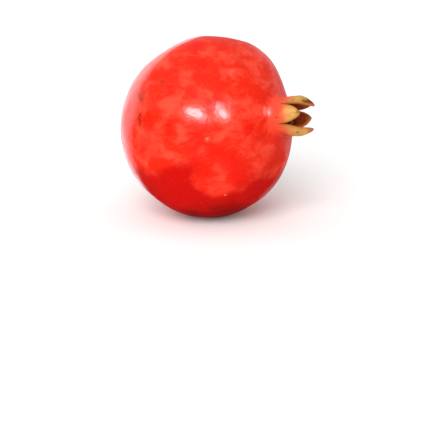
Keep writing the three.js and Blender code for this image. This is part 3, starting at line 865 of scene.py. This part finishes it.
def stamen_tree(filament, anther):
    """Geometry Nodes: bent filaments on a ring, each with an anther on its end, joined to what comes in."""
    tree = bpy.data.node_groups.new("Stamens", "GeometryNodeTree")
    tree.is_modifier = True
    tree.interface.new_socket("Geometry", in_out="INPUT", socket_type="NodeSocketGeometry")
    for name in ("Count", "Length", "Filament Radius", "Anther Radius", "Root Radius", "Foot", "Seed"):
        kind = "Int" if name in ("Count", "Seed") else "Float"
        tree.interface.new_socket(name, in_out="INPUT", socket_type=f"NodeSocket{kind}")
    tree.interface.new_socket("Geometry", in_out="OUTPUT", socket_type="NodeSocketGeometry")
    given = add_node(tree, "NodeGroupInput").outputs

    def drawn(low, high, number):
        """A random value for each point. number: which draw it is, so that no two are alike."""
        seed = add_node(tree, "ShaderNodeMath", {0: given["Seed"], 1: number}, operation="ADD")
        return add_node(tree, "FunctionNodeRandomValue", {2: low, 3: high, "Seed": seed},
                        data_type="FLOAT").outputs[1]

    # Each value's name, the operation and what goes into it, by name or as it is. A root sits on the ring
    # at x, y and z. A filament runs along X, bends over to end and aside, and crooks more towards its tip
    values = {name: given[name] for name in ("Length", "Root Radius", "Foot")}
    values["index"] = add_node(tree, "GeometryNodeInputIndex")
    values["share"] = add_node(tree, "GeometryNodeSplineParameter").outputs["Factor"]
    for name, operation, *inputs in (
            ("spiral", "MULTIPLY", "index", GOLDEN_ANGLE),
            ("angle", "ADD", "spiral", drawn(-0.12, 0.12, 1)),
            ("radius", "MULTIPLY", "Root Radius", drawn(0.86, 1.0, 2)),
            ("down", "MULTIPLY", "radius", -1.0), ("cosine", "COSINE", "angle"), ("sine", "SINE", "angle"),
            ("x", "ADD", "Foot", drawn(-0.0008, 0.0004, 3)), ("y", "MULTIPLY", "cosine", "down"),
            ("z", "MULTIPLY", "sine", "radius"),
            ("bend", "MULTIPLY", "Length", 0.55), ("end", "MULTIPLY", "Length", 0.93),
            ("aside", "MULTIPLY", "Length", 0.30), ("crook", "MULTIPLY", "share", CROOK),
            ("back", "MULTIPLY", "angle", -1.0), ("roll", "ADD", "back", drawn(-0.5, 0.5, 4))):
        inputs = [values[value] if isinstance(value, str) else value for value in inputs]
        values[name] = add_node(tree, "ShaderNodeMath", dict(enumerate(inputs)), operation=operation)
    root, bend, end, turn = (
        add_node(tree, "ShaderNodeCombineXYZ", dict(enumerate(axes)))
        for axes in ((values["x"], values["y"], values["z"]), (values["bend"],),
                     (values["end"], values["aside"]),
                     (values["roll"], drawn(-0.14, 0.14, 5), drawn(-0.14, 0.14, 6))))

    points = add_node(tree, "GeometryNodePoints", {"Count": given["Count"], "Position": root})
    curve = add_node(tree, "GeometryNodeCurveQuadraticBezier", {
        "Resolution": 7, "Start": (0, 0, 0), "Middle": bend, "End": end})
    placed = add_node(tree, "GeometryNodeInstanceOnPoints", {
        "Points": points, "Instance": curve, "Rotation": turn, "Scale": drawn(0.42, 1.0, 7)})
    real = add_node(tree, "GeometryNodeRealizeInstances", {0: placed})
    where = add_node(tree, "GeometryNodeInputPosition")
    kinks = add_node(tree, "ShaderNodeTexNoise", {"Vector": where, "Scale": 1 / KINK, "Detail": 1})
    centred = add_node(tree, "ShaderNodeVectorMath", {0: kinks.outputs["Color"], 1: (0.5, 0.5, 0.5)},
                       operation="SUBTRACT")
    offset = add_node(tree, "ShaderNodeVectorMath", {0: centred, "Scale": values["crook"]},
                      operation="SCALE")
    crooked = add_node(tree, "GeometryNodeSetPosition", {"Geometry": real, "Offset": offset})
    section = add_node(tree, "GeometryNodeCurvePrimitiveCircle", {
        "Resolution": 5, "Radius": given["Filament Radius"]})
    threads = add_node(tree, "GeometryNodeCurveToMesh", {
        "Curve": crooked, "Profile Curve": section, "Fill Caps": True})

    ball = add_node(tree, "GeometryNodeMeshUVSphere", {
        "Segments": 7, "Rings": 5, "Radius": given["Anther Radius"]})
    long_ball = add_node(tree, "GeometryNodeTransform", {"Geometry": ball, "Scale": (0.8, 1.0, 1.5)})
    last = add_node(tree, "GeometryNodeCurveEndpointSelection", {"Start Size": 0, "End Size": 1})
    tangent = add_node(tree, "GeometryNodeInputTangent")
    align = add_node(tree, "FunctionNodeAlignRotationToVector", {"Vector": tangent}, axis="Z")
    anthers = add_node(tree, "GeometryNodeInstanceOnPoints", {
        "Points": crooked, "Selection": last, "Instance": long_ball, "Rotation": align,
        "Scale": drawn(0.7, 1.15, 8)})
    balls = add_node(tree, "GeometryNodeRealizeInstances", {0: anthers})

    joined = add_node(tree, "GeometryNodeJoinGeometry")
    for made, material in ((balls, anther), (threads, filament)):
        dressed = add_node(tree, "GeometryNodeSetMaterial", {"Geometry": made, "Material": material})
        tree.links.new(dressed.outputs[0], joined.inputs[0])
    tree.links.new(given["Geometry"], joined.inputs[0])
    add_node(tree, "NodeGroupOutput", {0: joined})
    return tree


def make_stamens(sizes):
    """The dried tuft, bent and laid down as the crown is."""
    lining = husk_material("Dried calyx lining", sizes.lining, "#3E2212", 0.9)
    style = husk_material("Dried style", "#9A6A3A", "#6A4020", 0.8)
    filament = husk_material("Dried stamen filament", sizes.filament, "#7A4E26", 1.2)
    anther = husk_material("Dried anther", sizes.pollen, "#8A5A22", 0.5)
    points, faces, numbers = tuft_base()
    base = new_piece("tuft_base", points, faces, [lining, style])
    base.data.polygons.foreach_set("material_index", numbers)

    tree = stamen_tree(filament, anther)
    modifier = base.modifiers.new("Stamens", "NODES")
    modifier.node_group = tree
    values = {"Count": sizes.count, "Length": sizes.length, "Filament Radius": sizes.radius,
              "Anther Radius": sizes.anther, "Root Radius": (CUP["radius"] - GAP - LINING["wall"] / 2) * MM,
              "Foot": (CUP["floor"] + GAP + LINING["height"] - STAMEN_ROOT) * MM, "Seed": SEED}
    for item in tree.interface.items_tree:
        if item.in_out == "INPUT" and item.name in values:
            modifier[item.identifier] = values[item.name]
    seen = base.evaluated_get(bpy.context.evaluated_depsgraph_get())
    mesh = bpy.data.meshes.new_from_object(seen)
    bpy.data.objects.remove(base)

    places = np.empty(3 * len(mesh.vertices), np.float32)
    mesh.vertices.foreach_get("co", places)
    laid = lay_down(nod(places.reshape(-1, 3).astype(float) / MM))
    mesh.vertices.foreach_set("co", laid.ravel().astype(np.float32))
    mesh.shade_smooth()
    mesh.update()
    return linked("stamen_tuft", mesh)


def directed(azimuth, elevation):
    """A direction from the fruit, as a unit vector. Azimuth 0 is the side that looks along +Y."""
    return Vector((math.sin(azimuth) * math.cos(elevation), -math.cos(azimuth) * math.cos(elevation),
                   math.sin(elevation)))


def aim(thing, target):
    """Turns a camera or a light to look at a point."""
    thing.rotation_euler = (target - thing.location).to_track_quat("-Z", "Y").to_euler()


def make_stage(stage):
    """The camera, the lights, the room's light and the floor."""
    scene = bpy.context.scene
    centre = Vector((0, 0, REST_DISTANCE * MM))
    backwards = directed(stage.azimuth, stage.elevation)
    right = Vector((math.cos(stage.azimuth), math.sin(stage.azimuth), 0))
    up = backwards.cross(right)
    camera = linked("Camera", bpy.data.cameras.new("Camera"))
    camera.data.lens = stage.lens
    camera.data.clip_end = 20
    target = centre + AIMED[0] * right + AIMED[1] * up
    camera.location = target + stage.distance * backwards
    aim(camera, target)
    scene.camera = camera

    def add_light(name, kind, turn, height, distance, energy):
        """A light that stands round the fruit and looks at it."""
        light = linked(name, bpy.data.lights.new(name, kind))
        light.data.energy = energy
        towards = directed(stage.azimuth + math.radians(turn), math.radians(height))
        light.location = centre + distance * towards
        aim(light, centre)
        return light

    for name, turn, height, distance, size, roll, setting, share in MIRRORED:
        light = add_light(name, "AREA", turn, height, distance, share * getattr(stage, setting))
        light.data.shape = "ELLIPSE"
        light.data.size, light.data.size_y = size
        light.data.color = MIRRORED_TINT
        light.rotation_euler.rotate_axis("Z", math.radians(roll))
        light.visible_camera = False
        light.visible_diffuse = False
    for name, turn, height, width, setting in LIGHTING:
        light = add_light(name, "SUN", turn, height, 1, getattr(stage, setting))
        light.data.angle = math.radians(width)
        light.visible_glossy = False

    # The room is darker in front than behind, and is seen as plain white
    world = bpy.data.worlds.new("Studio room")
    world.use_nodes = True
    tree = world.node_tree
    tree.nodes.clear()
    towards = add_node(tree, "ShaderNodeTexCoord").outputs["Generated"]
    ahead = add_node(tree, "ShaderNodeVectorMath", {
        0: towards, 1: directed(stage.azimuth, DARK_SIDE)}, operation="DOT_PRODUCT")
    room = add_node(tree, "ShaderNodeMapRange", {
        "Value": ahead.outputs["Value"], "From Min": -0.85, "From Max": 0.1, "To Min": stage.back,
        "To Max": stage.front}, interpolation_type="SMOOTHSTEP")
    seen = add_node(tree, "ShaderNodeLightPath").outputs["Is Camera Ray"]
    strength = add_node(tree, "ShaderNodeMix", {0: seen, 2: room, 3: 1.0})
    light = add_node(tree, "ShaderNodeBackground", {"Color": (1, 1, 1, 1), "Strength": strength})
    add_node(tree, "ShaderNodeOutputWorld", {"Surface": light})
    scene.world = world
    scene.view_settings.view_transform = "Standard"

    material, tree = new_material("Pale painted board")
    add_shader(tree, {"Base Color": opaque(stage.floor), "Roughness": 0.9,
                      "Emission Color": opaque(stage.floor), "Emission Strength": 0.1})
    corners = FLOOR_REACH * np.array(((-1, -1, 0), (1, -1, 0), (1, 1, 0), (-1, 1, 0)))
    floor = new_piece("floor", corners, [(0, 1, 2, 3)], [material])
    floor.visible_glossy = False
    return floor


class POMEGRANATE_OT_rind(bpy.types.Operator):
    """Make the rind with its crown and the stub of its stalk"""

    bl_idname = "pomegranate.rind"
    bl_label = "Rind and crown"

    def execute(self, context):
        piece = make_rind(context.scene.pomegranate_rind)
        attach(piece, "root")
        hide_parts("fruit")
        return {"FINISHED"}


class POMEGRANATE_OT_stamens(bpy.types.Operator):
    """Make the dried stamens, the style and the lining that they grow from"""

    bl_idname = "pomegranate.stamens"
    bl_label = "Dried stamens"

    def execute(self, context):
        piece = make_stamens(context.scene.pomegranate_stamens)
        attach(piece, "root")
        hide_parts("stamens")
        return {"FINISHED"}


class POMEGRANATE_OT_stage(bpy.types.Operator):
    """Make the floor, the lights and the camera"""

    bl_idname = "pomegranate.stage"
    bl_label = "Studio stage"

    def execute(self, context):
        make_stage(context.scene.pomegranate_stage)
        return {"FINISHED"}


class POMEGRANATE_PT_sidebar(bpy.types.Panel):
    """The pieces of the pomegranate, each with its sizes and colours"""

    bl_label = "Pomegranate"
    bl_space_type = "VIEW_3D"
    bl_region_type = "UI"
    bl_category = "Pomegranate"

    def draw(self, context):
        for piece in ("stage", "rind", "stamens"):
            box = self.layout.box()
            box.operator(f"pomegranate.{piece}")
            group = getattr(context.scene, f"pomegranate_{piece}")
            for name in group.__annotations__:
                box.prop(group, name)


CLASSES = (RindSettings, StamenSettings, StageSettings, POMEGRANATE_OT_rind, POMEGRANATE_OT_stamens,
           POMEGRANATE_OT_stage, POMEGRANATE_PT_sidebar)
SETTINGS = {"pomegranate_rind": RindSettings, "pomegranate_stamens": StamenSettings,
            "pomegranate_stage": StageSettings}


def register():
    for kind in CLASSES:
        bpy.utils.register_class(kind)
    for name, kind in SETTINGS.items():
        setattr(bpy.types.Scene, name, bpy.props.PointerProperty(type=kind))


def unregister():
    for name in SETTINGS:
        delattr(bpy.types.Scene, name)
    for kind in reversed(CLASSES):
        bpy.utils.unregister_class(kind)


def main():
    register()
    bpy.ops.pomegranate.stage()
    bpy.ops.pomegranate.rind()
    bpy.ops.pomegranate.stamens()
    bpy.context.view_layer.update()


if __name__ == "__main__":
    main()
